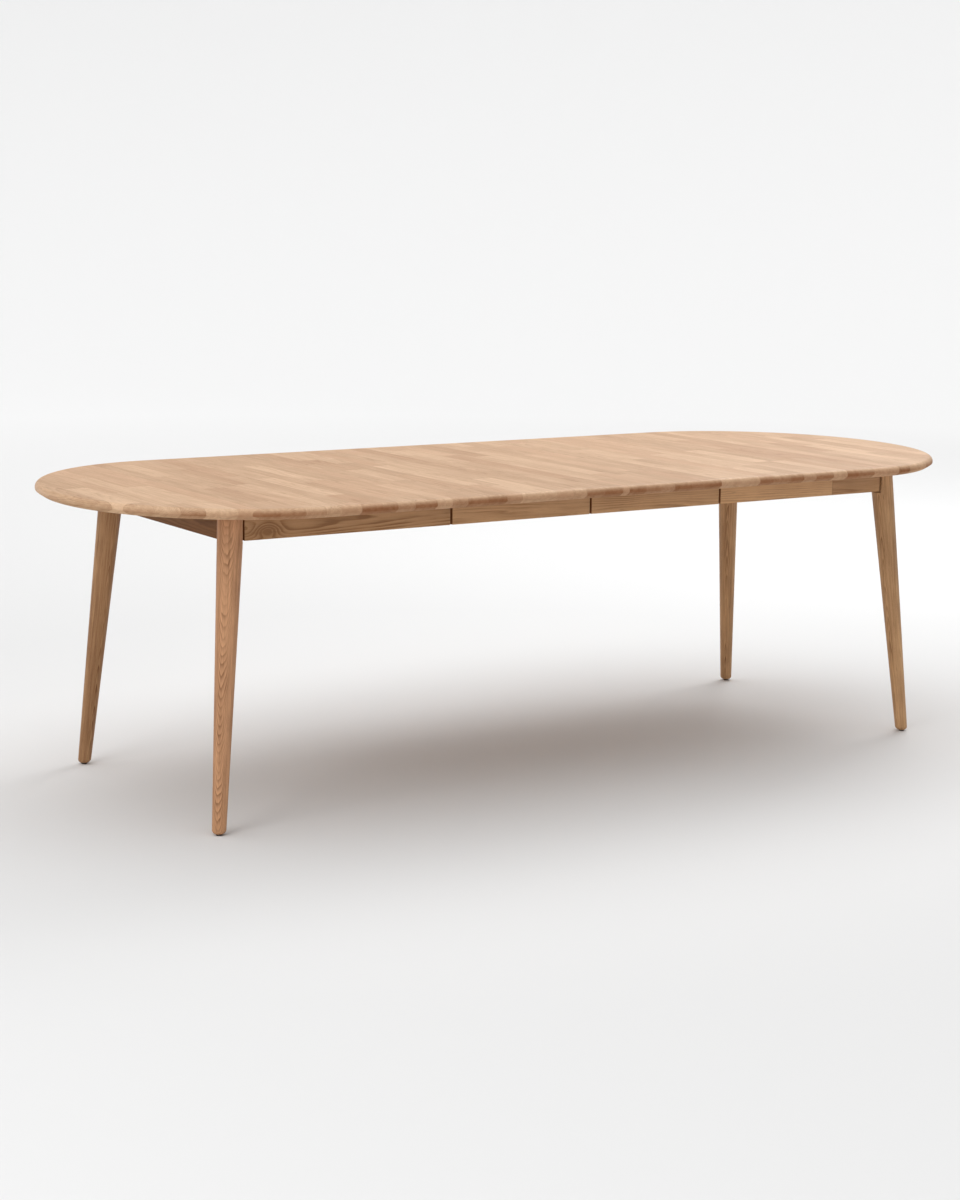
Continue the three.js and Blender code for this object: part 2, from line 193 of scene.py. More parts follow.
# staves differ a little in width, because a slow wave shifts the lines between them
SWAY = 41.0                       # radians per metre
SWAY_REACH = 0.006
GLUE_LINE = 0.0004                # half width of the line between two staves
GLUE_SHADE = 0.22
JOINT_SHADE = 0.35

# the numbers that end a chance vector, different for each thing that is drawn
LOOK_DRAW = 9.1
RING_DRAW = 5.3
LENGTH_DRAW = (3.7, 1.3)


def flat_noise(g, inside, along, seed, fineness, detail):
    """Noise over a board's face, the same all the way through it."""
    fine_across, fine_along = fineness
    return g.noise(g.vector(g.math("MULTIPLY", inside, fine_across), seed,
                            g.math("MULTIPLY", along, fine_along)), detail)


def deep_noise(g, place, seed, fineness, detail, roughness=0.5):
    """Noise through the whole board, drawn out along the grain."""
    across, through, along = place
    fine_across, fine_along = fineness
    return g.noise(g.vector(g.math("MULTIPLY_ADD", across, fine_across, seed),
                            g.math("MULTIPLY", through, fine_across),
                            g.math("MULTIPLY", along, fine_along)), detail, roughness)


def place_in_board(g, from_object):
    """Where a point is across, through and along its board."""
    if from_object is None:
        return g.split(g.node("ShaderNodeAttribute", attribute_name=WOOD).outputs["Vector"])
    x, y, z = g.split(g.node("ShaderNodeTexCoord").outputs["Object"])
    return {"X": (y, z, x), "Y": (x, z, y), "Z": (x, y, z)}[from_object]


def lay_staves(g, across, along, stave, block, joint):
    """Counts the staves across and the lengths along, and gives a point's place in its own one."""
    swayed = across
    if stave < WHOLE_BOARD:
        sway = g.math("SINE", g.math("MULTIPLY", across, SWAY))
        swayed = g.math("MULTIPLY_ADD", sway, SWAY_REACH, across)
    columns = g.math("DIVIDE", swayed, stave)
    inside = g.math("MULTIPLY", g.math("SUBTRACT", g.math("FRACT", columns), 0.5), stave)
    rows = 0.5
    local = along
    if block > 0.0:
        shift, length, _ = g.chance(g.vector(g.math("FLOOR", columns), *LENGTH_DRAW))
        block_length = g.remap(length, 0.0, 1.0, block * 0.6, block * 1.5)
        rows = g.math("DIVIDE", g.math("MULTIPLY_ADD", shift, 7.0, along), block_length)
        local = g.math("MULTIPLY", g.math("SUBTRACT", g.math("FRACT", rows), 0.5), block_length)
    elif joint is not None:
        rows = g.math("SUBTRACT", joint, along)
    return columns, rows, inside, local


def growth_rings(g, beside, depth, along, seed, ring_gap, wild, near_knot):
    """How far a point is through its growth ring, from 0 in early wood to 1 at the ring's end."""
    drift = flat_noise(g, beside, along, seed, DRIFT, detail=1.0)
    side = g.math("MULTIPLY_ADD", drift, DRIFT_REACH, beside)
    radius = g.math("SQRT", g.math("MULTIPLY_ADD", side, side, g.math("MULTIPLY", depth, depth)))
    wobble = flat_noise(g, beside, along, g.math("ADD", seed, 4.0), WOBBLE, detail=2.0)
    phase = g.math("MULTIPLY_ADD", wobble, wild, g.math("DIVIDE", radius, ring_gap))
    return g.math("FRACT", g.math("MULTIPLY_ADD", near_knot, KNOT_RINGS, phase))


def knot_swell(g, inside, along, knot):
    """1 at the middle of a knot, falling smoothly to 0 around it."""
    knot_along, knot_across, long_half, wide_half = knot
    u = g.math("DIVIDE", g.math("SUBTRACT", along, knot_along), long_half)
    v = g.math("DIVIDE", g.math("SUBTRACT", inside, knot_across), wide_half)
    apart = g.math("MULTIPLY_ADD", u, u, g.math("MULTIPLY", v, v))
    return g.math("EXPONENT", g.math("MULTIPLY", apart, -1.0))


def ring_lines(g, saw, inside, along, seed, near_knot, knot):
    """The dark lines at the rings' ends, clear in some places and faint in others."""
    rings = g.math("MULTIPLY", g.math("POWER", saw, 2.0), g.remap(saw, 0.84, 1.0, 1.0, 0.0))
    strength = flat_noise(g, inside, along, g.math("ADD", seed, 8.0), CLEARNESS, detail=2.0)
    clearness = g.remap(strength, 0.36, 0.62, 0.25, 1.25)
    if knot is not None:
        clearness = g.math("MULTIPLY_ADD", near_knot, 1.2, clearness)
    return g.math("MULTIPLY", rings, clearness)


def glue_lines(g, columns, rows, stave, joint):
    """How much the glue lines darken a point, between staves or at a board's own butt joint."""
    if joint is not None:
        glue = g.remap(g.math("ABSOLUTE", rows), GLUE_LINE, 4 * GLUE_LINE, 1.0, 0.0)
        return g.math("MULTIPLY", glue, JOINT_SHADE)
    near_side = g.math("ABSOLUTE", g.math("SUBTRACT", g.math("FRACT", columns), 0.5))
    near_end = g.math("ABSOLUTE", g.math("SUBTRACT", g.math("FRACT", rows), 0.5))
    glue = g.math("MAXIMUM", g.remap(near_side, 0.5 - GLUE_LINE / stave, 0.5),
                  g.remap(near_end, 0.4988, 0.5))
    return g.math("MULTIPLY", glue, GLUE_SHADE)


def end_grain_and_painted_shade(g, colour, finish, uneven, end_axis, end_and_shade_tint, shine):
    """Darkens and dulls the faces that cut the grain. The darkening is painted shade as well as end
    grain: it grows on such faces that look down and shrinks on those that look up. Faces that look down
    are dull as well.
    """
    normals = g.split(g.node("ShaderNodeNewGeometry").outputs["Normal"])
    end_grain_and_shade = g.math("ABSOLUTE", normals["XYZ".index(end_axis)])
    # painted shade: the end-grain darkening is weighted up where a face looks down, as on the lower
    # bevel of the top's edge
    end_grain_and_shade = g.math("MULTIPLY", end_grain_and_shade, g.math("MULTIPLY_ADD", normals[2], -0.6, 1.0))
    end_grain_and_shade = g.remap(end_grain_and_shade, 0.35, 0.95)
    bare = g.math("MAXIMUM", end_grain_and_shade, g.remap(normals[2], 0.0, -0.5))
    soaked_and_shaded = g.mix(1.0, colour, (*end_and_shade_tint, 1.0), blend="MULTIPLY")
    g.put(g.shader.inputs["Specular IOR Level"], g.remap(bare, 0.0, 1.0, shine, 0.02))
    colour = g.mix(g.math("MULTIPLY", end_grain_and_shade, uneven), colour, soaked_and_shaded)
    finish = g.math("MULTIPLY_ADD", bare, 0.3, finish)
    return colour, finish


def oak(name, light, dark, pore, stave=WHOLE_BOARD, block=0.0, joint=None, tone=0.10, ring=0.5,
        ring_gap=0.0032, lean=0.05, pith=(0.02, 0.08), aside=0.04, knot=None, end_axis=None,
        end_and_shade_tint=(0.80, 0.70, 0.66), wild=1.3, streak=0.6, streak_gap=0.0077, from_object=None,
        roughness=0.5, shine=0.26):
    """Oak as a solid texture: growth rings, streaks, fibres and pores along the grain. stave is the
    width of the glued staves and block the usual length of a stave before the next one starts;
    joint is the place of a single butt joint. tone is how much the boards differ and ring how dark
    the ring lines are. lean is how far the rings slope along the board, pith how deep the heart lies
    under its face and aside how far off its middle. wild is how unevenly the rings grew. end_axis is
    the world axis of the grain, where the end grain is to show in end_and_shade_tint, which also
    paints shade on such faces that look down. from_object names the object axis that the grain
    follows, for CAD pieces that carry no wood attribute."""
    material, g = new_material(name)
    staved = stave < WHOLE_BOARD
    place = place_in_board(g, from_object)
    across, through, along = place
    columns, rows, inside, local = lay_staves(g, across, along, stave, block, joint)
    column = g.math("FLOOR", columns)
    row = g.math("FLOOR", rows)
    tint, warmth, pick = g.chance(g.vector(column, row, LOOK_DRAW))
    deep, offset, slope = g.chance(g.vector(row, column, RING_DRAW))
    seed = g.math("MULTIPLY", pick, 37.0)

    heart = g.remap(deep, 0.0, 1.0, *pith)
    slope_here = g.remap(slope, 0.0, 1.0, -lean, lean) if staved else lean
    depth = g.math("ADD", g.math("ADD", through, heart), g.math("MULTIPLY", local, slope_here))
    beside = g.math("ADD", inside, g.remap(offset, 0.0, 1.0, -aside, aside))
    near_knot = knot_swell(g, inside, along, knot) if knot is not None else 0.0
    saw = growth_rings(g, beside, depth, along, seed, ring_gap, wild, near_knot)
    rings = ring_lines(g, saw, inside, along, seed, near_knot, knot)

    fibres = deep_noise(g, place, seed, FIBRES, detail=3.0, roughness=0.65)
    streaks = deep_noise(g, place, seed, (1.0 / streak_gap, STREAKS_ALONG), detail=3.0, roughness=0.65)
    clouds = deep_noise(g, place, seed, CLOUDS, detail=3.0)
    pores = g.remap(deep_noise(g, place, seed, PORES, detail=1.0), 0.60, 0.72)
    pores = g.math("MULTIPLY", pores, g.remap(saw, 0.0, 0.5, 1.0, 0.35))
    flecks = g.remap(deep_noise(g, place, seed, FLECKS, detail=1.0), 0.67, 0.76)

    shade = g.math("MULTIPLY", rings, ring)
    if knot is not None:
        shade = g.math("MULTIPLY_ADD", near_knot, 0.30, shade)
    for part, weight in ((fibres, 0.5), (streaks, streak), (clouds, 0.5), (tint, tone * 5.0)):
        shade = g.math("MULTIPLY_ADD", g.math("SUBTRACT", part, 0.5), weight, shade)
    colour = g.mix(g.remap(shade, -0.40, 0.75), light, dark)
    pink = tuple(a * b for a, b in zip(dark, (1.12, 0.95, 0.92, 1.0)))
    colour = g.mix(g.remap(warmth, 0.5, 1.0, 0.0, tone * 3.0), colour, pink)
    colour = g.mix(g.math("MULTIPLY", pores, 0.34), colour, pore)
    colour = g.mix(g.math("MULTIPLY", flecks, 0.30), colour, pore)
    if staved or joint is not None:
        colour = g.mix(glue_lines(g, columns, rows, stave, joint), colour, pore)

    finish = g.math("MULTIPLY_ADD", g.math("SUBTRACT", fibres, 0.5), 0.16, roughness)
    finish = g.math("MULTIPLY_ADD", pores, 0.15, finish)
    if end_axis is not None:
        uneven = g.remap(tint, 0.25, 0.75, 0.45, 1.0) if staved else 1.0
        colour, finish = end_grain_and_painted_shade(g, colour, finish, uneven, end_axis, end_and_shade_tint, shine)
    else:
        g.shader.inputs["Specular IOR Level"].default_value = shine
    g.put(g.shader.inputs["Base Color"], colour)
    g.put(g.shader.inputs["Roughness"], finish)
    height = g.math("SUBTRACT", g.math("MULTIPLY", fibres, 0.5), pores)
    g.put(g.shader.inputs["Normal"], g.bump(height, 0.22, 0.00025))
    return material


TOP_LIGHT = srgb(220, 185, 151)
TOP_DARK = srgb(164, 124, 90)
TOP_PORE = srgb(118, 82, 54)
FRAME_LIGHT = srgb(208, 164, 120)
FRAME_DARK = srgb(136, 96, 60)
FRAME_PORE = srgb(84, 54, 32)
LEG_LIGHT = srgb(210, 166, 120)
LEG_DARK = srgb(120, 80, 48)
RED_LEG_LIGHT = srgb(214, 162, 120)
RED_LEG_DARK = srgb(116, 72, 43)
# painted shade: the end rails' colours are painted darker than the other boards', for the shade under
# the overhang of the oval ends
SHADED_RAIL_LIGHT = srgb(138, 98, 64)
SHADED_RAIL_DARK = srgb(88, 56, 34)
BEECH_LIGHT = srgb(206, 164, 124)
BEECH_DARK = srgb(176, 130, 92)
END_GRAIN_AND_SHADE_TINT = (0.50, 0.36, 0.28)    # how much the ends of the boards drink and darken; on such faces that look down it is painted shade too

STAVE_WIDTH = 0.047
APRON_JOINT_X = 0.775             # butt joint in the right front apron

# knot in the left front apron: its place along and across, half its length and half its width
KNOT = (-0.884, -0.011, 0.032, 0.016)

BOARD_FIGURE = {"pith": (0.03, 0.06), "end_and_shade_tint": END_GRAIN_AND_SHADE_TINT}
LEG_FIGURE = {"tone": 0.06, "ring": 0.78, "ring_gap": 0.0014, "lean": 0.047, "pith": (0.046, 0.054),
              "aside": 0.003, "wild": 2.6, "streak": 1.35, "streak_gap": 0.0045}

# the top's end tint darkens its end grain and paints shade on the lower bevel of its edge
oak_panel = oak("oak_panel", TOP_LIGHT, TOP_DARK, TOP_PORE, stave=STAVE_WIDTH, block=0.38,
                tone=0.085, ring=0.4, end_axis="Y", end_and_shade_tint=(0.58, 0.42, 0.34), streak=1.15)
oak_board = oak("oak_board", FRAME_LIGHT, FRAME_DARK, FRAME_PORE, lean=0.01, ring=0.7,
                aside=0.06, end_axis="X", **BOARD_FIGURE)
oak_knotted = oak("oak_board_knotted", FRAME_LIGHT, FRAME_DARK, FRAME_PORE, lean=0.015, ring=0.9,
                  ring_gap=0.0042, knot=KNOT, aside=0.02, wild=0.8, end_axis="X", **BOARD_FIGURE)
oak_jointed = oak("oak_board_jointed", FRAME_LIGHT, FRAME_DARK, FRAME_PORE, lean=0.01, ring=0.6,
                  tone=0.14, joint=APRON_JOINT_X, aside=0.06, end_axis="X", **BOARD_FIGURE)
# the end rails, in the colours painted darker for the shade under the overhang
oak_rail_painted_shade = oak("oak_rail_painted_shade", SHADED_RAIL_LIGHT, SHADED_RAIL_DARK, FRAME_PORE, lean=0.01, ring=0.6, aside=0.06,
               end_axis="Y", shine=0.10, **BOARD_FIGURE)
oak_leg = oak("oak_leg", LEG_LIGHT, LEG_DARK, FRAME_PORE, **LEG_FIGURE)
oak_red_leg = oak("oak_leg_red", RED_LEG_LIGHT, RED_LEG_DARK, FRAME_PORE, **LEG_FIGURE)
inner_wood = {
    axis: oak(f"beech_{axis.lower()}", BEECH_LIGHT, BEECH_DARK, FRAME_DARK, tone=0.04, ring=0.2,
              from_object=axis, roughness=0.6)
    for axis in "XYZ"
}


def zinc_steel():
    material, g = new_material("zinc_steel_plated")
    place = g.node("ShaderNodeTexCoord").outputs["Object"]
    x, y, z = g.split(place)
    patches = g.noise(g.vector(g.math("MULTIPLY", x, 300.0), g.math("MULTIPLY", y, 300.0),
                               g.math("MULTIPLY", z, 300.0)), detail=4.0)
    colour = g.mix(patches, srgb(176, 178, 182), srgb(206, 206, 200))
    g.put(g.shader.inputs["Base Color"], colour)
    g.shader.inputs["Metallic"].default_value = 1.0
    g.put(g.shader.inputs["Roughness"], g.remap(patches, 0.3, 0.7, 0.28, 0.46))
    return material


def dark_glide():
    material, g = new_material("dark_plastic_glide")
    x, y, z = g.split(g.node("ShaderNodeTexCoord").outputs["Object"])
    grit = g.noise(g.vector(g.math("MULTIPLY", x, 1500.0), g.math("MULTIPLY", y, 1500.0),
                            g.math("MULTIPLY", z, 1500.0)), detail=2.0)
    g.put(g.shader.inputs["Base Color"], g.mix(grit, srgb(30, 24, 20), srgb(52, 42, 34)))
    g.put(g.shader.inputs["Roughness"], g.remap(grit, 0.2, 0.8, 0.6, 0.85))
    g.put(g.shader.inputs["Normal"], g.bump(grit, 0.3, 0.0002))
    return material


steel = zinc_steel()
glide_plastic = dark_glide()


# ---------------------------------------------------------------- mesh helpers

def link(name, mesh):
    made = bpy.data.objects.new(name, mesh)
    scene.collection.objects.link(made)
    return made


def mesh_of(name, vertices, faces):
    mesh = bpy.data.meshes.new(name)
    mesh.from_pydata([tuple(v) for v in vertices], [], faces)
    mesh.validate()
    return mesh


def loft(name, rings):
    """A closed body through rings with equally many points, each ring level and the first lowest."""
    count = len(rings[0])
    vertices = [point for ring in rings for point in ring]
    faces = []
    for level in range(len(rings) - 1):
        low = level * count
        high = low + count
        for i in range(count):
            after = (i + 1) % count
            faces.append((low + i, low + after, high + after, high + i))
    faces.append(tuple(reversed(range(count))))
    faces.append(tuple(range((len(rings) - 1) * count, len(rings) * count)))
    return mesh_of(name, vertices, faces)


def box_mesh(name, low, high, ease=0.0, steps=2):
    """A box with eased edges."""
    mesh = bpy.data.meshes.new(name)
    body = bmesh.new()
    bmesh.ops.create_cube(body, size=1.0)
    middle = (Vector(low) + Vector(high)) / 2
    size = Vector(high) - Vector(low)
    for vertex in body.verts:
        vertex.co = Vector((vertex.co.x * size.x, vertex.co.y * size.y, vertex.co.z * size.z)) + middle
    if ease > 0.0:
        bmesh.ops.bevel(body, geom=body.edges[:], offset=ease, segments=steps, profile=0.5,
                        affect="EDGES", clamp_overlap=True)
    body.to_mesh(mesh)
    body.free()
    return mesh


def prism_mesh(name, outline, low, high):
    """An outline of (x, y) points pushed from one height to another."""
    area = sum(a[0] * b[1] - b[0] * a[1] for a, b in zip(outline, outline[1:] + outline[:1]))
    ordered = outline if area > 0 else outline[::-1]
    return loft(name, [[(x, y, z) for x, y in ordered] for z in (low, high)])


def rod_mesh(name, start, end, radius, sides=32, ease=0.0):
    """A round rod between two points, its ends eased."""
    along = (Vector(end) - Vector(start))
    length = along.length
    levels = [(0.0, radius - ease), (ease, radius), (length - ease, radius), (length, radius - ease)]
    rings = []
    for height, reach in levels:
        rings.append([(reach * math.cos(2 * math.pi * i / sides),
                       reach * math.sin(2 * math.pi * i / sides), height) for i in range(sides)])
    mesh = loft(name, rings)
    turn = Vector((0, 0, 1)).rotation_difference(along.normalized()).to_matrix().to_4x4()
    mesh.transform(Matrix.Translation(Vector(start)) @ turn)
    return mesh


def cut(mesh, cutters):
    """The mesh with the cutter meshes taken away."""
    body = link("cut_body", mesh)
    made = []
    for cutter in cutters:
        tool = link("cut_tool", cutter)
        made.append(tool)
        modifier = body.modifiers.new("cut", "BOOLEAN")
        modifier.operation = "DIFFERENCE"
        modifier.solver = "EXACT"
        modifier.object = tool
    bpy.context.view_layer.update()
    graph = bpy.context.evaluated_depsgraph_get()
    result = bpy.data.meshes.new_from_object(body.evaluated_get(graph))
    for thing in [body, *made]:
        bpy.data.objects.remove(thing)
    return result


def set_wood(mesh, to_wood):
    """Writes each vertex's place in the board, worked out from where it is."""
    layer = mesh.attributes.new(WOOD, "FLOAT_VECTOR", "POINT")
    for vertex in mesh.vertices:
        layer.data[vertex.index].vector = to_wood(vertex.co)


def add_piece(name, mesh, material, node, smooth=35.0):
    """Puts a mesh in the scene in place of a CAD node, riding on that node's body."""
    mesh.name = name
    mesh.shade_smooth()
    mesh.set_sharp_from_angle(angle=math.radians(smooth))
    mesh.materials.clear()
    mesh.materials.append(material)
    made = link(name, mesh)
    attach(made, BODY_OF[node])
    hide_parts(node)
    return made


# ---------------------------------------------------------------- top panels

def edge_profile():
    """The edge in section, from the underside up: (inset from the widest line, height, seam ease).
    The points next to the bevel's two ends round its corners a little."""
    arc_steps = 10
    band_high = TOP_HIGH - EDGE_ROUND
    band_low = band_high - EDGE_BAND
    profile = [
        (EDGE_BEVEL + 0.004, TOP_LOW, SEAM_EASE),
        (EDGE_BEVEL, TOP_LOW + 0.0001, SEAM_EASE),
        (EDGE_BEVEL - 0.0015, TOP_LOW + 0.0007, 0.0),
        (0.0022, band_low - 0.0010, 0.0),
        (0.0006, band_low + 0.0002, 0.0),
        (0.0, band_low + 0.0016, 0.0),
    ]
    for i in range(arc_steps + 1):
        angle = (math.pi / 2) * i / arc_steps
        inset = EDGE_ROUND * (1 - math.cos(angle))
        height = band_high + EDGE_ROUND * math.sin(angle)
        profile.append((inset, height, 0.0))
    profile.append((EDGE_ROUND + 0.001, TOP_HIGH, SEAM_EASE))
    return profile


def end_ring(side, seam, inset, height, ease):
    """One level of an end top's outline, from the front seam corner round the oval to the back."""
    arc_steps = 72
    straight = side * (TIP_X - END_DEPTH)
    corner = seam + side * ease
    ring = [(corner, -(HALF_WIDTH - inset), height)]
    for i in range(arc_steps + 1):
        angle = -math.pi / 2 + math.pi * i / arc_steps
        rim = Vector((END_DEPTH * math.cos(angle), HALF_WIDTH * math.sin(angle)))
        out = Vector((math.cos(angle) / END_DEPTH, math.sin(angle) / HALF_WIDTH)).normalized()
        place = rim - inset * out
        ring.append((straight + side * place.x, place.y, height))
    ring.append((corner, HALF_WIDTH - inset, height))
    return ring if side > 0 else ring[::-1]


def leaf_ring(low_x, high_x, inset, height, ease):
    reach = HALF_WIDTH - inset
    return [(low_x + ease, -reach, height), (high_x - ease, -reach, height),
            (high_x - ease, reach, height), (low_x + ease, reach, height)]


DOWEL_RADIUS = 0.004
DOWEL_IN = 0.016                  # how deep a dowel is glued in
DOWEL_OUT = 0.014                 # how far it stands out
DOWEL_HEIGHT = sum(corner[2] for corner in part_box("left_front_dowel")) / 2
LEFT_DOWEL_Y = abs(sum(corner[1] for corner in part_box("left_front_dowel")) / 2)
RIGHT_DOWEL_Y = abs(sum(corner[1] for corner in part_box("right_front_dowel")) / 2)
SOCKET_HALF = DOWEL_RADIUS + 0.0006
SLOT_PAST_DOWEL = 0.0016          # dowel's tip to the end of its slot
CUT_PAST = 0.002                  # how far a cutter starts outside the piece it cuts


def slot_cutters(edge_x, dowel_y, into):
    """Open-bottomed slots in a panel's edge that drop over the next panel's dowels."""
    inside = edge_x + into * (DOWEL_OUT + SLOT_PAST_DOWEL)
    outside = edge_x - into * CUT_PAST
    cutters = []
    for side in (-1, 1):
        low = (min(inside, outside), side * dowel_y - SOCKET_HALF, TOP_LOW - CUT_PAST)
        high = (max(inside, outside), side * dowel_y + SOCKET_HALF, DOWEL_HEIGHT + SOCKET_HALF)
        cutters.append(box_mesh("slot", low, high))
    return cutters


def hole_cutters(edge_x, dowel_y, into):
    """The holes that a panel's own dowels are glued into."""
    cutters = []
    for side in (-1, 1):
        start = (edge_x - into * CUT_PAST, side * dowel_y, DOWEL_HEIGHT)
        end = (edge_x + into * (DOWEL_IN + GAP), side * dowel_y, DOWEL_HEIGHT)
        cutters.append(rod_mesh("hole", start, end, DOWEL_RADIUS + GAP, sides=24))
    return cutters


def add_end_top(end, side, first_stave):
    """A half-oval end top. first_stave numbers its staves, so that each panel has its own."""
    node = f"{end}_top"
    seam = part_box(node)[0 if side > 0 else 1][0]
    rings = [end_ring(side, seam, *level) for level in edge_profile()]
    own = LEFT_DOWEL_Y if side < 0 else RIGHT_DOWEL_Y
    other = RIGHT_DOWEL_Y if side < 0 else LEFT_DOWEL_Y
    cutters = slot_cutters(seam, other, side) + hole_cutters(seam, own, side)
    mesh = cut(loft(node, rings), cutters)
    start = first_stave * STAVE_WIDTH
    set_wood(mesh, lambda p: (side * (p.x - seam) + start, p.z - TOP_HIGH, p.y))
    add_piece(f"{end}_top_panel", mesh, oak_panel, node)


def add_leaf_panel(name, first_stave, cutters_for):
    """A leaf's panel. cutters_for gives its holes and slots from where its two seams are."""
    node = f"{name}_leaf_panel"
    low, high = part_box(node)
    rings = [leaf_ring(low[0], high[0], *level) for level in edge_profile()]
    mesh = cut(loft(node, rings), cutters_for(low[0], high[0]))
    start = first_stave * STAVE_WIDTH
    set_wood(mesh, lambda p: (p.x - low[0] + start, p.z - TOP_HIGH, p.y))
    add_piece(f"{name}_leaf_board", mesh, oak_panel, node)


def add_panels():
    add_end_top("left", -1, first_stave=11)
    add_end_top("right", 1, first_stave=23)
    add_leaf_panel("left", 37, lambda low, high: slot_cutters(low, LEFT_DOWEL_Y, 1)
                   + slot_cutters(high, LEFT_DOWEL_Y, -1))
    add_leaf_panel("right", 53, lambda low, high: hole_cutters(low, LEFT_DOWEL_Y, 1)
                   + slot_cutters(high, RIGHT_DOWEL_Y, -1))


# ---------------------------------------------------------------- aprons and rails

APRON_EASE = 0.0016


def board_start(number):
    """Where the middle of a whole board lies across, so that each piece gets its own board."""
    return (number + 0.5) * WHOLE_BOARD


def add_board(node, along, number, material):
    """An apron piece or rail: an eased board whose grain follows X or Y."""
    low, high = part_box(node)
    mesh = box_mesh(node, low, high, ease=APRON_EASE, steps=3)
    middle = (low[2] + high[2]) / 2
    start = board_start(number)
    if along == "X":
        set_wood(mesh, lambda p: (p.z - middle + start, abs(p.y - low[1]), p.x))
    else:
        set_wood(mesh, lambda p: (p.z - middle + start, abs(p.x - low[0]), p.y))
    add_piece(f"{node}_board", mesh, material, node)


BOARDS = (                        # a node's place in this list decides which board it is cut from
    "left_back_apron", "left_end_rail", "left_leaf_front_apron", "left_leaf_back_apron",
    "left_front_apron", "right_front_apron", "right_end_rail", "right_back_apron",
    "right_leaf_back_apron", "right_leaf_front_apron",
)


def add_aprons_and_rails():
    special = {"left_front_apron": oak_knotted, "right_front_apron": oak_jointed}
    for number, node in enumerate(BOARDS):
        along = "Y" if node.endswith("_end_rail") else "X"
        usual = oak_rail_painted_shade if along == "Y" else oak_board
        add_board(node, along, number, special.get(node, usual))


# ---------------------------------------------------------------- legs

def leg_profile(foot_height):
    """The leg's section as (radius, height), from the foot's flat to the top."""
    steps = 8
    profile = []
    for i in range(steps + 1):
        angle = (math.pi / 2) * i / steps
        radius = LEG_FOOT_RADIUS - FOOT_EASE * (1 - math.sin(angle))
        profile.append((radius, foot_height + FOOT_EASE * (1 - math.cos(angle))))
    rise = FRAME_TOP - (foot_height + FOOT_EASE)
    for share in (0.02, 0.25, 0.5, 0.75, 1.0):
        radius = LEG_FOOT_RADIUS + (LEG_TOP_RADIUS - LEG_FOOT_RADIUS) * share
        profile.append((radius, foot_height + FOOT_EASE + rise * share))
    return profile


def leg_axis(side, front, height):
    """Where the middle of a leg is at a height."""
    low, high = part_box(f"{'left' if side < 0 else 'right'}_{'front' if front < 0 else 'back'}_glide")
    share = height / TOP_LOW
    return ((low[0] + high[0]) / 2 - side * LEG_SPLAY[0] * share,
            (low[1] + high[1]) / 2 - front * LEG_SPLAY[1] * share)


NOTCH_REACH = 0.1                 # how far the cutters of a leg's notch reach, well past the leg


def leg_cutters(side, front):
    """The notch at a leg's top: a flat for the apron, one for the end rail and one for the block."""
    top_x, top_y = leg_axis(side, front, TOP_LOW)
    flat_x = top_x - side * LEG_FLAT_INSET
    flat_y = top_y - front * LEG_FLAT_INSET
    shoulder = APRON_LOW - SHOULDER_DROP
    reach = NOTCH_REACH
    above = TOP_LOW + CUT_PAST
    cutters = []
    for a, b in (((flat_x, top_y - front * reach), (flat_x - side * reach, top_y + front * reach)),
                 ((top_x + side * reach, flat_y), (top_x - side * reach, flat_y - front * reach))):
        low = (min(a[0], b[0]), min(a[1], b[1]), shoulder)
        high = (max(a[0], b[0]), max(a[1], b[1]), above)
        cutters.append(box_mesh("notch", low, high))
    axis_x, axis_y = leg_axis(side, front, (TOP_LOW + APRON_LOW) / 2)
    inward = Vector((-side, -front)).normalized()
    sideways = Vector((inward.y, -inward.x))
    seat = Vector((axis_x, axis_y)) + inward * LEG_SEAT_INSET
    corners = [seat + sideways * reach, seat - sideways * reach,
               seat - sideways * reach + inward * reach, seat + sideways * reach + inward * reach]
    cutters.append(prism_mesh("seat", [(c.x, c.y) for c in corners], shoulder, above))
    return cutters


def add_leg(end, place, side, front, number, turn):
    """A turned leg with its notch. turn is which way the wood's rings face, about +Z."""
    node = f"{end}_{place}_leg"
    foot_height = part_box(node)[0][2]
    sides = 96
    rings = []
    for radius, height in leg_profile(foot_height):
        axis_x, axis_y = leg_axis(side, front, height)
        rings.append([(axis_x + radius * math.cos(2 * math.pi * i / sides),
                       axis_y + radius * math.sin(2 * math.pi * i / sides), height)
                      for i in range(sides)])
    mesh = cut(loft(node, rings), leg_cutters(side, front))
    start = board_start(number)

    def to_wood(p):
        axis_x, axis_y = leg_axis(side, front, p.z)
        x, y = p.x - axis_x, p.y - axis_y
        return (x * math.cos(turn) + y * math.sin(turn) + start,
                y * math.cos(turn) - x * math.sin(turn), p.z - TOP_LOW / 2)

    set_wood(mesh, to_wood)
    material = oak_red_leg if node == "left_front_leg" else oak_leg
    add_piece(f"{node}_turned", mesh, material, node)


def add_glide(end, place):
    node = f"{end}_{place}_glide"
    low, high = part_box(node)
    x, y = (low[0] + high[0]) / 2, (low[1] + high[1]) / 2
    mesh = rod_mesh(node, (x, y, low[2]), (x, y, high[2]), (high[0] - low[0]) / 2, sides=48, ease=0.0006)
    add_piece(f"{node}_pad", mesh, glide_plastic, node)


LEG_TURNS = {                     # which way each leg's ring figure faces, in degrees about +Z
    ("left", "front"): 147.0,
    ("left", "back"): 20.0,
    ("right", "front"): 300.0,
    ("right", "back"): 330.0,
}


FIRST_LEG_NUMBER = 20             # the legs' wood is numbered after the boards'


def add_legs():
    number = FIRST_LEG_NUMBER
    for end, side in (("left", -1), ("right", 1)):
        for place, front in (("front", -1), ("back", 1)):
            add_leg(end, place, side, front, number, math.radians(LEG_TURNS[end, place]))
            add_glide(end, place)
            number += 1


# ---------------------------------------------------------------- parts under the top

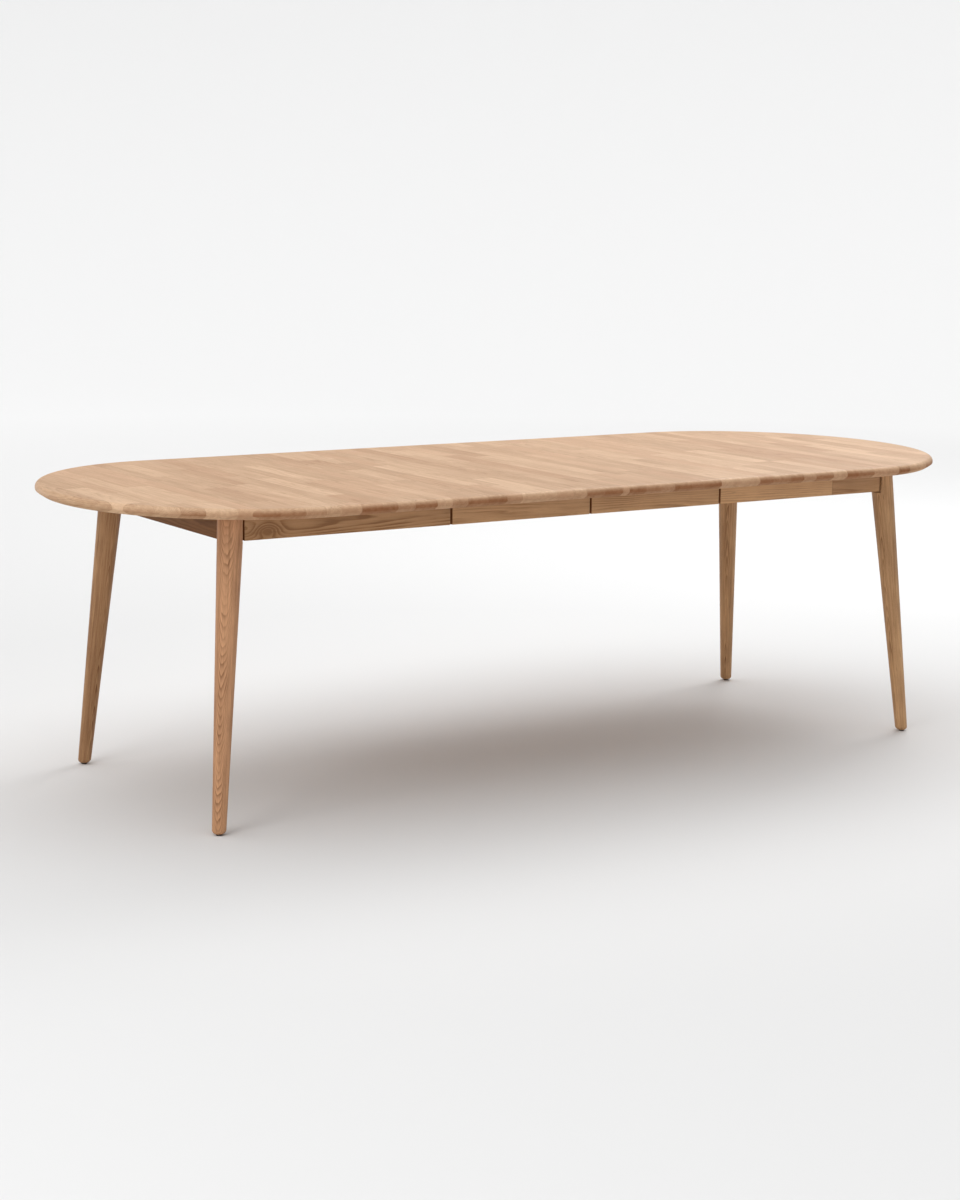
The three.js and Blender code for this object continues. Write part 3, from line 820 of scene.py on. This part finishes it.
def dress_cad_node(node, material, ease):
    """Keeps a CAD node's shape, with a real material and lightly eased edges."""
    shown = frame["nodes"][node]
    shown.data.materials.clear()
    shown.data.materials.append(material)
    modifier = shown.modifiers.new("ease", "BEVEL")
    modifier.width = ease
    modifier.segments = 2
    modifier.limit_method = "ANGLE"
    modifier.angle_limit = math.radians(40)
    modifier.harden_normals = True


def dress_inner_parts():
    for node in BODY_OF:
        if node.endswith("_runner") or node.endswith("_stop") or node.endswith("_glue_block"):
            dress_cad_node(node, inner_wood["X"], 0.0006)
        elif node.endswith("_cross_rail"):
            dress_cad_node(node, inner_wood["Y"], 0.0008)
        elif node.endswith("_corner_block"):
            dress_cad_node(node, inner_wood["Z"], 0.0008)
        elif node.endswith("_dowel"):
            dress_cad_node(node, inner_wood["X"], 0.0005)
        elif node.endswith("_bolt") or node.endswith("_nut"):
            dress_cad_node(node, steel, 0.0003)


# ---------------------------------------------------------------- stage, light and camera

FLOOR_LEVEL_RADIUS = 8.0          # the floor is level up to here
FLOOR_RIM_RADIUS = 60.0
FLOOR_RISE = 0.0081               # height gained per square metre of distance beyond the level part
FLOOR_SIDES = 128
FLOOR_RINGS = 26
NEAR_RADIUS = 2.0                 # the floor's painted shade near the table, a wide painted shadow, changes to the far pale shade between these two distances
FAR_RADIUS = 9.0                  # between these two distances
NEAR_PAINTED_SHADE = (0.72, 0.72, 0.72, 1.0)
FAR_SHADE = (0.95, 0.95, 0.95, 1.0)


def floor_mesh():
    """A round floor that rises slowly outwards like a shallow dish, so that no horizon shows."""
    vertices = []
    faces = []
    for ring in range(FLOOR_RINGS + 1):
        beyond = (FLOOR_RIM_RADIUS - FLOOR_LEVEL_RADIUS) * ring / FLOOR_RINGS
        radius = FLOOR_LEVEL_RADIUS + beyond
        for i in range(FLOOR_SIDES):
            turn = 2 * math.pi * i / FLOOR_SIDES
            vertices.append((radius * math.cos(turn), radius * math.sin(turn), FLOOR_RISE * beyond ** 2))
    for ring in range(FLOOR_RINGS):
        low = ring * FLOOR_SIDES
        high = low + FLOOR_SIDES
        for i in range(FLOOR_SIDES):
            after = (i + 1) % FLOOR_SIDES
            faces.append((low + i, high + i, high + after, low + after))
    faces.append(tuple(range(FLOOR_SIDES)))
    mesh = mesh_of("studio_floor", vertices, faces)
    mesh.shade_smooth()
    return mesh


def pale_floor_painted_shade():
    material, g = new_material("pale_floor_painted_shade")
    x, y, _ = g.split(g.node("ShaderNodeTexCoord").outputs["Object"])
    reach = g.math("SQRT", g.math("MULTIPLY_ADD", x, x, g.math("MULTIPLY", y, y)))
    # painted shade: the floor is darker around the table, like a wide soft shadow under it, and pale
    # further out
    shade = g.mix(g.remap(reach, NEAR_RADIUS, FAR_RADIUS), NEAR_PAINTED_SHADE, FAR_SHADE)
    g.put(g.shader.inputs["Base Color"], shade)
    g.shader.inputs["Roughness"].default_value = 1.0
    g.shader.inputs["Specular IOR Level"].default_value = 0.0
    return material


def add_stage():
    mesh = floor_mesh()
    mesh.materials.append(pale_floor_painted_shade())
    floor = link("studio_floor", mesh)


PANEL_SIZE = 2.5                  # side of a square light panel
PANEL_AIM = (0.0, 0.0, 0.5)


def aim_lamp(name, data, place, aim):
    lamp = bpy.data.objects.new(name, data)
    scene.collection.objects.link(lamp)
    lamp.location = place
    lamp.rotation_euler = (Vector(aim) - Vector(place)).to_track_quat("-Z", "Y").to_euler()
    lamp.visible_camera = False


def add_side_light(name, place, power):
    data = bpy.data.lights.new(name, "AREA")
    data.shape = "SQUARE"
    data.size = PANEL_SIZE
    data.energy = power
    aim_lamp(name, data, place, PANEL_AIM)


def add_lights():
    """A wide soft light overhead and a panel at each end of the table. The front is left to the
    light that the floor throws back."""
    overhead = bpy.data.lights.new("overhead", "SUN")
    overhead.energy = 2.65
    overhead.angle = math.radians(95)
    aim_lamp("overhead", overhead, (-0.5, 0.4, 4.0), (0.0, 0.0, 0.0))
    add_side_light("left_panel", (-5.2, -2.0, 3.5), 62.0)
    add_side_light("right_panel", (3.6, 1.8, 4.2), 95.0)
    world = bpy.data.worlds.new("studio")
    world.use_nodes = True
    background = world.node_tree.nodes["Background"]
    background.inputs["Color"].default_value = (1.0, 1.0, 1.0, 1.0)
    background.inputs["Strength"].default_value = 0.05
    scene.world = world
    scene.view_settings.view_transform = "Standard"


CAMERA_PLACE = (-3.2265, -4.8405, 1.4122)
CAMERA_YAW = math.radians(32.896)
CAMERA_PITCH = math.radians(10.003)
CAMERA_ROLL = math.radians(0.732)
CAMERA_LENS = 68.70               # millimetres, on a sensor 36 mm wide
CAMERA_SENSOR = 36.0
CAMERA_CLIP = 60.0


def add_camera():
    forward = Vector((math.sin(CAMERA_YAW) * math.cos(CAMERA_PITCH),
                      math.cos(CAMERA_YAW) * math.cos(CAMERA_PITCH), -math.sin(CAMERA_PITCH)))
    level_right = forward.cross(Vector((0, 0, 1))).normalized()
    level_up = level_right.cross(forward)
    right = level_right * math.cos(CAMERA_ROLL) + level_up * math.sin(CAMERA_ROLL)
    up = level_up * math.cos(CAMERA_ROLL) - level_right * math.sin(CAMERA_ROLL)
    data = bpy.data.cameras.new("camera")
    data.lens = CAMERA_LENS
    data.sensor_width = CAMERA_SENSOR
    data.clip_end = CAMERA_CLIP
    camera = bpy.data.objects.new("camera", data)
    scene.collection.objects.link(camera)
    turn = Matrix((right, up, -forward)).transposed().to_4x4()
    camera.matrix_world = Matrix.Translation(Vector(CAMERA_PLACE)) @ turn
    scene.camera = camera


# ---------------------------------------------------------------- the scene

add_panels()
add_aprons_and_rails()
add_legs()
dress_inner_parts()
add_stage()
add_lights()
add_camera()
